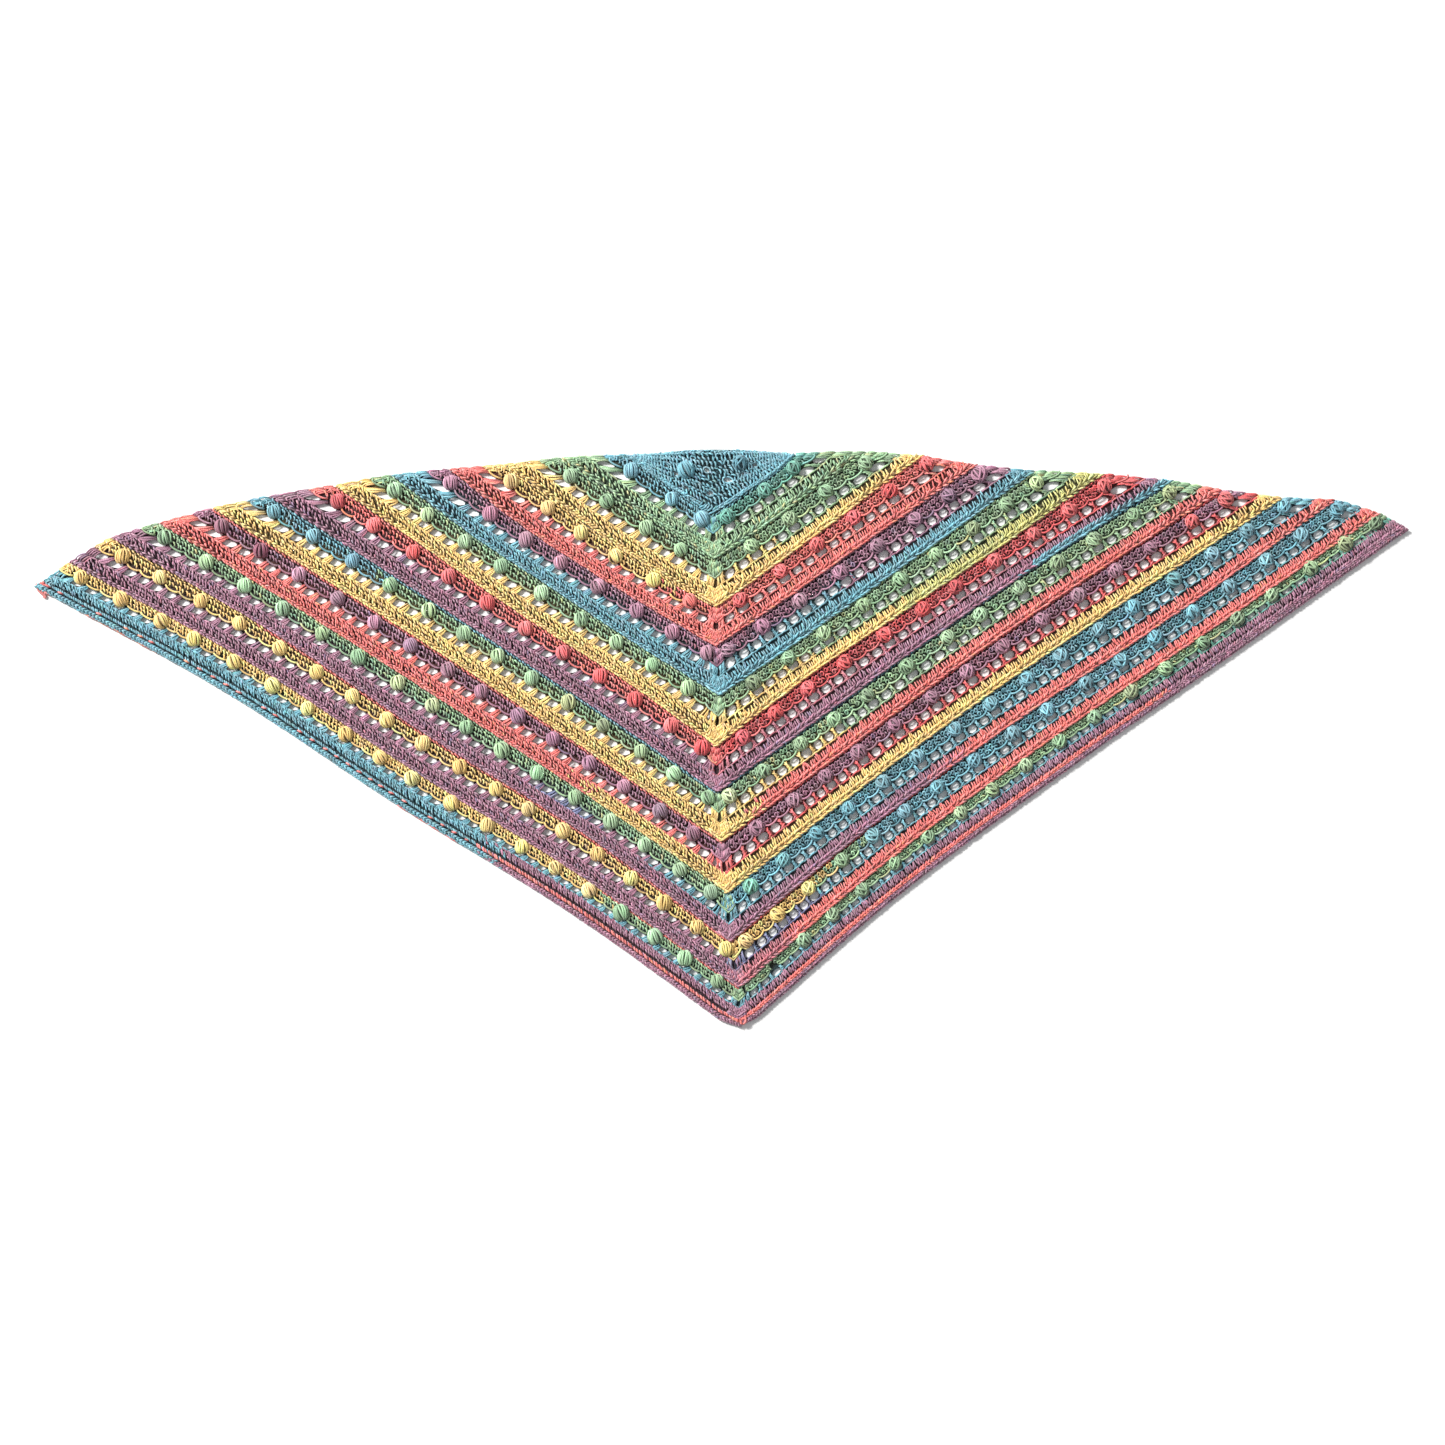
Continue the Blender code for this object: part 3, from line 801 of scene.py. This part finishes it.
def yarn_material(name):
    """Plied, lightly mercerised cotton: twisted plies with painted shade between them and painted
    highlight on their crowns, marl and fine fuzz.
    """
    mat, nodes, links = new_material(name)
    shader = nodes["Principled BSDF"]
    colour = nodes.new("ShaderNodeAttribute")
    colour.attribute_name = "yarn_colour"
    twist = nodes.new("ShaderNodeAttribute")
    twist.attribute_name = "yarn_twist"
    split = nodes.new("ShaderNodeSeparateXYZ")
    links.new(twist.outputs["Vector"], split.inputs[0])
    turn = math_node(nodes, links, "ARCTAN2", split.outputs[1], split.outputs[0])
    along = split.outputs[2]
    phase = math_node(nodes, links, "ADD", math_node(nodes, links, "MULTIPLY", turn, 4.0),
                      math_node(nodes, links, "MULTIPLY", along, 2.9))
    ply = math_node(nodes, links, "ABSOLUTE", math_node(
        nodes, links, "SINE", math_node(nodes, links, "MULTIPLY", phase, 0.5)))
    place = nodes.new("ShaderNodeTexCoord")
    marl = nodes.new("ShaderNodeTexNoise")
    marl.inputs["Scale"].default_value = 130.0
    marl.inputs["Detail"].default_value = 2.0
    links.new(place.outputs["Object"], marl.inputs["Vector"])
    fuzz = nodes.new("ShaderNodeTexNoise")
    fuzz.inputs["Scale"].default_value = 1400.0
    fuzz.inputs["Detail"].default_value = 3.0
    links.new(place.outputs["Object"], fuzz.inputs["Vector"])
    # painted shade between the plies and painted highlight on their crowns, in the base colour
    tone = nodes.new("ShaderNodeMapRange")
    tone.inputs["From Min"].default_value = 0.0
    tone.inputs["From Max"].default_value = 0.8
    tone.inputs["To Min"].default_value = 0.55
    tone.inputs["To Max"].default_value = 1.08
    links.new(ply, tone.inputs["Value"])
    dye = nodes.new("ShaderNodeMapRange")
    dye.inputs["From Min"].default_value = 0.3
    dye.inputs["From Max"].default_value = 0.7
    dye.inputs["To Min"].default_value = 0.86
    dye.inputs["To Max"].default_value = 1.12
    links.new(marl.outputs["Fac"], dye.inputs["Value"])
    both = math_node(nodes, links, "MULTIPLY", tone.outputs[0], dye.outputs[0])
    mixed = nodes.new("ShaderNodeVectorMath")
    mixed.operation = "SCALE"
    links.new(colour.outputs["Color"], mixed.inputs[0])
    links.new(both, mixed.inputs["Scale"])
    links.new(mixed.outputs[0], shader.inputs["Base Color"])
    height = math_node(nodes, links, "ADD", math_node(nodes, links, "MULTIPLY", ply, 0.8),
                       math_node(nodes, links, "MULTIPLY", fuzz.outputs["Fac"], 0.35))
    bump = nodes.new("ShaderNodeBump")
    bump.inputs["Strength"].default_value = 0.55
    bump.inputs["Distance"].default_value = 0.0005
    links.new(height, bump.inputs["Height"])
    links.new(bump.outputs[0], shader.inputs["Normal"])
    shader.inputs["Roughness"].default_value = 0.52
    shader.inputs["Specular IOR Level"].default_value = 0.5
    shader.inputs["Sheen Weight"].default_value = 0.22
    shader.inputs["Sheen Roughness"].default_value = 0.5
    return mat


def ground_material(name):
    """The sheet under the stitches: underneath, the back of the stitches, rows of small loops in the
    same yarns, with painted shade in the grooves between the loops and painted highlight on their
    crowns; on top, the dark painted shade of the gaps.
    """
    mat, nodes, links = new_material(name)
    shader = nodes["Principled BSDF"]
    colour = nodes.new("ShaderNodeAttribute")
    colour.attribute_name = "yarn_colour"
    weave = nodes.new("ShaderNodeAttribute")
    weave.attribute_name = "stitch_place"
    split = nodes.new("ShaderNodeSeparateXYZ")
    links.new(weave.outputs["Vector"], split.inputs[0])
    across = math_node(nodes, links, "SINE", math_node(
        nodes, links, "MULTIPLY", split.outputs[1], 2 * math.pi * 12.0))
    slant = math_node(nodes, links, "ADD", math_node(nodes, links, "MULTIPLY", split.outputs[0],
                                                     2 * math.pi),
                      math_node(nodes, links, "MULTIPLY", across, 1.1))
    loop = math_node(nodes, links, "ABSOLUTE", math_node(nodes, links, "SINE", slant))
    height = math_node(nodes, links, "MULTIPLY", math_node(
        nodes, links, "MULTIPLY_ADD", across, 0.35, 0.65), loop)
    place = nodes.new("ShaderNodeTexCoord")
    fuzz = nodes.new("ShaderNodeTexNoise")
    fuzz.inputs["Scale"].default_value = 900.0
    fuzz.inputs["Detail"].default_value = 4.0
    links.new(place.outputs["Object"], fuzz.inputs["Vector"])
    # base colour darker in the loops' grooves and lighter on their crowns: painted shade and painted
    # highlight
    tone = nodes.new("ShaderNodeMapRange")
    tone.inputs["To Min"].default_value = 0.50
    tone.inputs["To Max"].default_value = 1.10
    links.new(height, tone.inputs["Value"])
    mixed = nodes.new("ShaderNodeVectorMath")
    mixed.operation = "SCALE"
    links.new(colour.outputs["Color"], mixed.inputs[0])
    links.new(tone.outputs[0], mixed.inputs["Scale"])
    links.new(mixed.outputs[0], shader.inputs["Base Color"])
    total = math_node(nodes, links, "MULTIPLY_ADD", fuzz.outputs["Fac"], 0.25, height)
    bump = nodes.new("ShaderNodeBump")
    bump.inputs["Strength"].default_value = 0.8
    bump.inputs["Distance"].default_value = 0.0012
    links.new(total, bump.inputs["Height"])
    links.new(bump.outputs[0], shader.inputs["Normal"])
    shader.inputs["Roughness"].default_value = 0.8
    shader.inputs["Specular IOR Level"].default_value = 0.3
    shader.inputs["Sheen Weight"].default_value = 0.1
    return mat


# ---------------------------------------------------------------- the ground cloth
class Ground:
    """A thin closed sheet under the stitches, its top coloured dark as painted shade in the gaps between
    the strands, with the real eyelets left open.
    """

    TOP, BOTTOM = 2.1, 0.45

    def __init__(self):
        self.verts, self.faces, self.colours, self.places = [], [], [], []

    def grid(self, wing, columns, shares, layers, holes, lean=0.0):
        """columns: place of each grid line, shares: across, holes: kind of a cell."""
        C, F = np.meshgrid(np.asarray(columns, float), np.asarray(shares, float), indexing="ij")
        if lean:
            inner = np.ones(len(columns))
            inner[[0, -1]] = 0.0
            C = C + lean * inner[:, None] * np.interp(F, (0.25, 0.40, 0.62, 0.80),
                                                      (0.0, 1.0, -1.0, 0.0))
        plan = wing.place(C, F)
        along = wing.base(np.asarray(columns, float))
        tones = {}
        for layer in set(layers):
            tones[layer] = yarn_colour(wing.colours[layer], along, 4.0)
        start = len(self.verts)
        nc, nf = C.shape
        for i in range(nc):
            for j in range(nf):
                self.verts.append((plan[i, j, 0], plan[i, j, 1]))
                self.colours.append(tones[layers[j]][i])
                self.places.append((float(columns[i]), float(shares[j]) + wing.number, 0.0))
        for i in range(nc - 1):
            for j in range(nf - 1):
                a = start + i * nf + j
                b, c, d = a + nf, a + nf + 1, a + 1
                corners = (a, b, c, d)
                kind = holes(0.5 * (columns[i] + columns[i + 1]), 0.5 * (shares[j] + shares[j + 1]))
                if kind == "whole":
                    continue
                if not kind:
                    self.faces.append(corners)
                    continue
                ring = []
                for k in range(4):
                    p = np.array(self.verts[corners[k]])
                    q = np.array(self.verts[corners[(k + 1) % 4]])
                    r = np.array(self.verts[corners[(k + 2) % 4]])
                    s = np.array(self.verts[corners[(k + 3) % 4]])
                    inset = 0.05
                    for x in (0.30, 0.70):
                        near = p + (q - p) * x
                        far = s + (r - s) * x
                        spot = near + (far - near) * inset
                        ring.append(len(self.verts))
                        self.verts.append((spot[0], spot[1]))
                        self.colours.append(self.colours[corners[k]])
                        self.places.append(self.places[corners[k]])
                for k in range(4):
                    p, q = corners[k], corners[(k + 1) % 4]
                    o1, o2 = ring[2 * k], ring[2 * k + 1]
                    before = ring[(2 * k - 1) % 8]
                    self.faces.append((p, q, o2, o1))
                    self.faces.append((p, o1, before))

    def piece(self, name, material):
        plan = np.array(self.verts)
        n = len(plan)
        tone = np.array(self.colours)
        a = plan[[f[0] for f in self.faces]]
        b = plan[[f[1] for f in self.faces]]
        c = plan[[f[2] for f in self.faces]]
        area = (b[:, 0] - a[:, 0]) * (c[:, 1] - a[:, 1]) - (b[:, 1] - a[:, 1]) * (c[:, 0] - a[:, 0])
        faces = [f if s > 0 else tuple(reversed(f)) for f, s in zip(self.faces, area)]
        edges = {}
        for f in faces:
            for k in range(len(f)):
                e = (f[k], f[(k + 1) % len(f)])
                edges[e] = edges.get(e, 0) + 1
        walls = [e for e in edges if (e[1], e[0]) not in edges]
        whole = list(faces)
        whole += [tuple(i + n for i in reversed(f)) for f in faces]
        whole += [(q, p, p + n, q + n) for p, q in walls]
        top = np.hstack((plan, np.full((n, 1), self.TOP * MM)))
        bottom = np.hstack((plan, np.full((n, 1), self.BOTTOM * MM)))
        mesh = bpy.data.meshes.new(name)
        mesh.from_pydata(np.concatenate((top, bottom)).tolist(), [], whole)
        # top faces: the yarn colour at 0.13, painted shade in the gaps between the strands; underside:
        # 0.9 of it
        colour = np.concatenate((tone * 0.13, tone * 0.9))
        layer = mesh.attributes.new("yarn_colour", "FLOAT_COLOR", "POINT")
        layer.data.foreach_set("color", np.hstack((colour, np.ones((len(colour), 1)))).ravel())
        layer = mesh.attributes.new("stitch_place", "FLOAT_VECTOR", "POINT")
        layer.data.foreach_set("vector", np.array(self.places * 2, float).ravel())
        mesh.materials.append(material)
        obj = bpy.data.objects.new(name, mesh)
        bpy.context.scene.collection.objects.link(obj)
        return obj, area.sum() / 2


# ---------------------------------------------------------------- make the pieces
cotton = yarn_material("crochet_cotton")
back_and_painted_shade = ground_material("crochet_back_and_painted_shade")
ground = Ground()
pieces = []
NODE_OF = {1: "start_panel", 13: "edging"}

SHARES = (0.004, 0.09, 0.40, 0.62, 0.76, 0.996)
SHARE_LAYERS = ("line", "single", "mesh", "mesh", "treble", "chain")


def eyelet(c, f):
    """The open cells of the mesh row: one under the bobble, one under each scallop."""
    if not 0.42 < f < 0.60:
        return ""
    x = c % 6.0
    return "eyelet" if min(x, 6 - x) < 0.40 or abs(x - 2) < 0.34 or abs(x - 4) < 0.34 else ""


for number in range(2, 13):
    yarn = Yarn()
    wings = {}
    for side, table in (("left", BOBBLES_LEFT), ("right", BOBBLES_RIGHT)):
        wing = Wing(number, side, table[number])
        wings[side] = wing
        cols = wing.columns()
        whole = np.arange(wing.first, wing.last + 1).astype(float)
        single_line(yarn, wing, cols, wing.colours["line"])
        single_row(yarn, wing, whole, wing.colours["single"])
        bobble_row(yarn, wing, wing.colours["bobble"])
        mesh_row(yarn, wing, whole, wing.colours["mesh"])
        treble_row(yarn, wing, cols, wing.colours["treble"], wing.fan_columns())
        if number < 12:
            if side == "left":
                chain_line(yarn, wing, cols, wing.colours["chain"], centre=0.945, half=0.034)
            else:
                chain_line(yarn, wing, cols, wing.colours["chain"], centre=0.935, half=0.056,
                           lift=0.3, raised=True)
        row_ends(yarn, wing)
        marks = []
        for c in range(int(wing.first) - 1, int(wing.last) + 2):
            x = c % 6
            if x == 0:
                marks += [c - 0.80, c + 0.80]
            elif x in (2, 4):
                marks += [c - 0.68, c + 0.68]
            else:
                marks.append(float(c))
        ends = sorted((wing.tip_c, wing.corner_c))
        marks = [m for m in marks if ends[0] + 0.15 <= m <= ends[1] - 0.15]
        low, high = marks[0], marks[-1]
        marks = np.array([ends[0]] + marks + [ends[1]])
        ground.grid(wing, marks, SHARES, SHARE_LAYERS,
                    lambda c, f: eyelet(c, f) if low < c < high else "",
                    lean=0.50 if side == "left" else 0.0)
    spine(yarn, wings["left"], wings["right"])
    obj = yarn.piece("yarn_band_%02d" % number, cotton)
    print(obj.name, "triangles", yarn.triangles)
    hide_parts("band_%02d" % number)
    pieces.append((obj, number, yarn.triangles))

# the start at the neck edge: close rows of loops, two bobbles, a few eyelets
yarn = Yarn()
panel = StartPanel()
cols = np.arange(0, panel.count + 1).astype(float)


def pixel_plan(px, py):
    """Plan position of a place in the photo's frame."""
    return np.array(((px - 722.5) * 1.05 * MM, (722.5 - py) * 1.05 * MM)) - CENTRE


# middle, half length and half width in millimetres, and slope of each open eyelet
EYELETS = ((675, 474, 4.6, 2.8, -40), (728, 480, 5.2, 3.0, -12), (710, 493, 3.8, 2.8, -20),
           (707, 470, 3.4, 2.4, -30), (666, 466, 2.8, 1.9, -35), (755, 465, 3.2, 2.2, 10),
           (686, 488, 3.6, 2.2, -30), (742, 474, 3.0, 2.0, 20), (693, 458, 2.4, 1.6, -20))


def in_eyelet(point, margin=0.0):
    """True where a plan position lies in one of the panel's eyelets."""
    for px, py, long, short, slope in EYELETS:
        d = (np.asarray(point, float) - pixel_plan(px, py)) / MM
        k = math.radians(slope)
        x, y = d[0] * math.cos(k) + d[1] * math.sin(k), -d[0] * math.sin(k) + d[1] * math.cos(k)
        if (x / (long + margin)) ** 2 + (y / (short + margin)) ** 2 < 1:
            return True
    return False


for row, f in enumerate(np.linspace(0.09, 0.86, 12)):
    own = np.arange(0.3, panel.count - 0.2, 0.52) + 0.26 * (row % 2)
    spots = panel.place(own, f)
    own = own[[not in_eyelet(p, 0.7) for p in spots]]
    turn = -60 if row % 3 else -42
    hatch(yarn, panel, own, f, turn, 5.6, 0.98, "T", z=3.9 + 0.3 * (row % 3), rise=1.5,
          bend=0.0 if row % 2 else 0.9, spread=17)
hatch(yarn, panel, np.arange(0.5, panel.count, 0.8), 0.60, -10, 5.0, 0.9, "T", z=3.6, spread=24)
left_half, right_half = cols[cols < 11], cols[cols >= 11]
for own, along in ((left_half, -31), (right_half, 37)):
    for shift in (0.0, 0.33, 0.66):
        hatch(yarn, panel, own + shift, 0.925, along + 18, 5.6, 1.05, "T", z=5.2, rise=1.4, spread=6)
        hatch(yarn, panel, own + shift, 0.972, along - 16, 5.6, 1.05, "T", z=5.2, rise=1.4, spread=6)
neck = np.arange(0.3, panel.count, 0.42)
hatch(yarn, panel, neck, 0.030, 4, 5.0, 1.0, "T", z=3.4, spread=16)
hatch(yarn, panel, neck + 0.2, 0.060, -14, 5.0, 0.95, "T", z=3.8, spread=16)
for px, py, long, short, slope in EYELETS:
    k = math.radians(slope)
    middle = pixel_plan(px, py)
    points = []
    for x in np.linspace(0, 2 * math.pi, 9, endpoint=False):
        d = np.array(((long + 0.6) * math.cos(x), (short + 0.6) * math.sin(x))) * MM
        points.append((middle[0] + d[0] * math.cos(k) - d[1] * math.sin(k),
                       middle[1] + d[0] * math.sin(k) + d[1] * math.cos(k), 2.9 * MM))
    yarn.add([points], 0.95, yarn_colour("T", np.zeros(1)), closed=True, sides=4)
bobble(yarn, pixel_plan(686, 469.5), math.radians(-62), yarn_colour("T", np.zeros(1)), 1.16)
bobble(yarn, pixel_plan(740, 462.5), math.radians(-70), yarn_colour("T", np.zeros(1)), 1.02, True)
marks = np.linspace(0.0, panel.count, 76)
shares = np.concatenate(([0.004], np.linspace(0.03, 0.97, 32), [0.996]))
ground.grid(panel, marks, shares, ("line",) * len(shares),
            lambda c, f: "whole" if in_eyelet(panel.place(c, f)) else "")
obj = yarn.piece("yarn_start_panel", cotton)
print(obj.name, "triangles", yarn.triangles)
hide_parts("start_panel")
pieces.append((obj, 1, yarn.triangles))

# the border of two rounds
yarn = Yarn()
wings = {}
for side, table in (("left", BOBBLES_LEFT), ("right", BOBBLES_RIGHT)):
    wing = Wing(13, side, table[12])
    wings[side] = wing
    cols = wing.columns()
    along = wing.base(cols)
    # contrast stitches: sparse and small on the left tip, then one to a stitch
    if side == "left":
        dense = along > -60
        sparse = (~dense) & (np.mod(cols, 2) == 0) & (rng.random(len(cols)) < 0.8)
        plain = ~dense & ~sparse
    else:
        dense = np.ones(len(cols), bool)
        sparse = plain = np.zeros(len(cols), bool)
    run = row_angle(wing)
    if side == "left":
        for shift in (-0.20, 0.16):
            hatch(yarn, wing, cols[dense] + shift, 0.14, -62, 5.8, 1.25, wing.colours["single"],
                  z=5.2, rise=1.8, spread=5)
        hatch(yarn, wing, cols[dense] + 0.48, 0.10, -60, 5.4, 0.95, wing.colours["line"], z=4.2)
        hatch(yarn, wing, cols[sparse], 0.18, -20, 6.0, 1.15, wing.colours["single"], z=5.4)
        for shift in (-0.30, 0.0, 0.30):
            hatch(yarn, wing, cols[~dense] + shift, 0.06, -62, 5.2, 0.95, wing.colours["line"],
                  z=4.3)
    else:
        for shift in (-0.25, 0.25):
            hatch(yarn, wing, cols + shift, 0.10, run + 30, 5.8, 1.15, wing.colours["single"],
                  z=5.2, rise=1.8, spread=6)
            hatch(yarn, wing, cols + shift, 0.30, run - 18, 5.6, 1.10, wing.colours["single"],
                  z=5.0, rise=1.6, spread=6)
        hatch(yarn, wing, cols, -0.06, -62, 4.6, 0.95, wing.colours["line"], z=4.0)
    # the core at 0.45 of the yarn colour is painted shade under the strands over it
    stitch_strand(yarn, wing, cols, ((-0.56, 0.55, 2.9), (0.56, 0.55, 2.9)), 1.9,
                  wing.colours["chain"], 0.5, dark=0.45)
    for f, tilt, z in ((0.50, 24, 4.7), (0.68, -20, 4.7), (0.88, 12, 3.0)):
        for shift in (-0.25, 0.25):
            hatch(yarn, wing, cols + shift, f, run + tilt * wing.lean, 5.8, 1.02,
                  wing.colours["chain"], z=z, rise=1.5, spread=6)
    row_ends(yarn, wing)
    ends = sorted((wing.tip_c, wing.corner_c))
    marks = np.concatenate(([ends[0]], np.arange(math.ceil(ends[0] + 0.2), ends[1] - 0.2),
                            [ends[1]]))
    ground.grid(wing, marks, (0.02, 0.5, 0.90), ("line", "chain", "chain"), lambda c, f: "")
left, right = wings["left"], wings["right"]


def edge_spot(q, f, z):
    wing = left if q < 0 else right
    p = wing.place(wing.corner_c + q, f)
    return (p[0], p[1], z * MM)


# the knot where the border's contrast yarn is fastened off, at the lower point
for turn in range(5):
    a0 = rng.uniform(0, 6.28)
    ring = [edge_spot(0.9 + 0.55 * math.cos(a0 + x) * 0.9, 0.55 + 0.34 * math.sin(a0 + x),
                      4.6 + 1.6 * math.sin(x + turn)) for x in np.linspace(0, 5.0, 7)]
    yarn.add([ring], 1.3, yarn_colour("C", np.zeros(1)))
for q in (-0.9, -0.25, 0.4):
    yarn.add([[edge_spot(q - 0.2, -0.1, 3.6), edge_spot(q, 0.12, 6.2), edge_spot(q + 0.2, 0.42, 4.4)]],
             1.7, yarn_colour("C", np.zeros(1)))

# the contrast yarn carried along the lower rim, and its loose ends at the left tip
for lo, hi in ((-652, -640), (-600, -500), (-168, -84)):
    for strand_no in range(2):
        u = np.arange(lo, hi, 5.0)
        c = (u - left.bobbles[0]) / 8.45
        pts = [tuple(left.place(cc, 0.93 + 0.05 * math.sin(k * 1.3 + strand_no * 2)))
               + ((2.2 + 0.7 * math.sin(k * 0.9 + strand_no)) * MM,) for k, cc in enumerate(c)]
        if len(pts) > 2:
            yarn.add([pts], 0.95, yarn_colour("C", np.zeros(1)))


def loose_end(points, radius):
    pts = []
    path = np.array([pixel_plan(x, y) for x, y in points])
    t = np.linspace(0, 1, 9)
    pts = np.stack([smooth_curve(path[:, 0], t), smooth_curve(path[:, 1], t),
                    np.linspace(2.2, 1.1, 9) * MM], axis=1)
    yarn.add([pts], radius, yarn_colour("C", np.zeros(1)))


loose_end(((36, 585), (38, 590), (42, 594), (45, 596), (44, 598)), 1.6)
loose_end(((36, 583), (37, 588), (41, 592), (43, 594)), 1.5)
loose_end(((47, 592), (44, 594), (43, 597), (44, 598)), 0.9)
loose_end(((84, 605), (81, 606), (79, 609), (78, 609)), 0.8)
loose_end(((86, 606), (83, 606), (80, 607), (79, 607)), 0.7)
obj = yarn.piece("yarn_edging", cotton)
print(obj.name, "triangles", yarn.triangles)
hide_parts("edging")
pieces.append((obj, 13, yarn.triangles))

cloth, cloth_area = ground.piece("ground_cloth", back_and_painted_shade)
print("ground area", cloth_area, "faces", len(cloth.data.polygons))
print("all triangles", sum(p[2] for p in pieces) + sum(len(p.vertices) - 2 for p in cloth.data.polygons))
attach(cloth, "root")
for obj, number, _ in pieces:
    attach(obj, "root")

# ---------------------------------------------------------------- floor, light, camera
floor_mesh = bpy.data.meshes.new("floor")
floor_mesh.from_pydata([(-6, -6, -0.0004), (6, -6, -0.0004), (6, 6, -0.0004), (-6, 6, -0.0004)],
                       [], [(0, 1, 2, 3)])
floor = bpy.data.objects.new("floor", floor_mesh)
bpy.context.scene.collection.objects.link(floor)
mat, nodes, links = new_material("pale_floor")
nodes["Principled BSDF"].inputs["Base Color"].default_value = (0.93, 0.93, 0.93, 1)
nodes["Principled BSDF"].inputs["Roughness"].default_value = 0.9
nodes["Principled BSDF"].inputs["Specular IOR Level"].default_value = 0.1
floor_mesh.materials.append(mat)

world = bpy.data.worlds.new("studio")
world.use_nodes = True
world.node_tree.nodes["Background"].inputs["Color"].default_value = (0.97, 0.985, 1.0, 1)
world.node_tree.nodes["Background"].inputs["Strength"].default_value = 0.42
bpy.context.scene.world = world


def area_light(name, position, target, size, power, colour=(1, 1, 1)):
    data = bpy.data.lights.new(name, "AREA")
    data.shape = "DISK"
    data.size = size
    data.energy = power
    data.color = colour
    obj = bpy.data.objects.new(name, data)
    from mathutils import Vector
    obj.location = position
    obj.rotation_euler = (Vector(target) - Vector(position)).to_track_quat("-Z", "Y").to_euler()
    bpy.context.scene.collection.objects.link(obj)
    return obj


area_light("key", (-5.0, 4.4, 5.4), (0, 0, 0), 1.9, 1150.0, (1.0, 0.985, 0.96))
area_light("low_side", (-4.6, 4.2, 1.4), (0, 0, 0), 2.4, 300.0, (1.0, 0.99, 0.97))

PIXEL = 1.05 * MM
DISTANCE = 3.2
eye = -CENTRE
camera_data = bpy.data.cameras.new("camera")
camera_data.sensor_width = 36.0
camera_data.lens = DISTANCE / (PIXEL * 1445) * 36.0
camera_data.clip_end = 50
camera = bpy.data.objects.new("camera", camera_data)
camera.location = (eye[0], eye[1], DISTANCE + 0.004)
camera.rotation_euler = (0.0, 0.0, 0.0)
bpy.context.scene.collection.objects.link(camera)
bpy.context.scene.camera = camera
bpy.context.scene.view_settings.view_transform = "Standard"
bpy.context.scene.view_settings.look = "None"
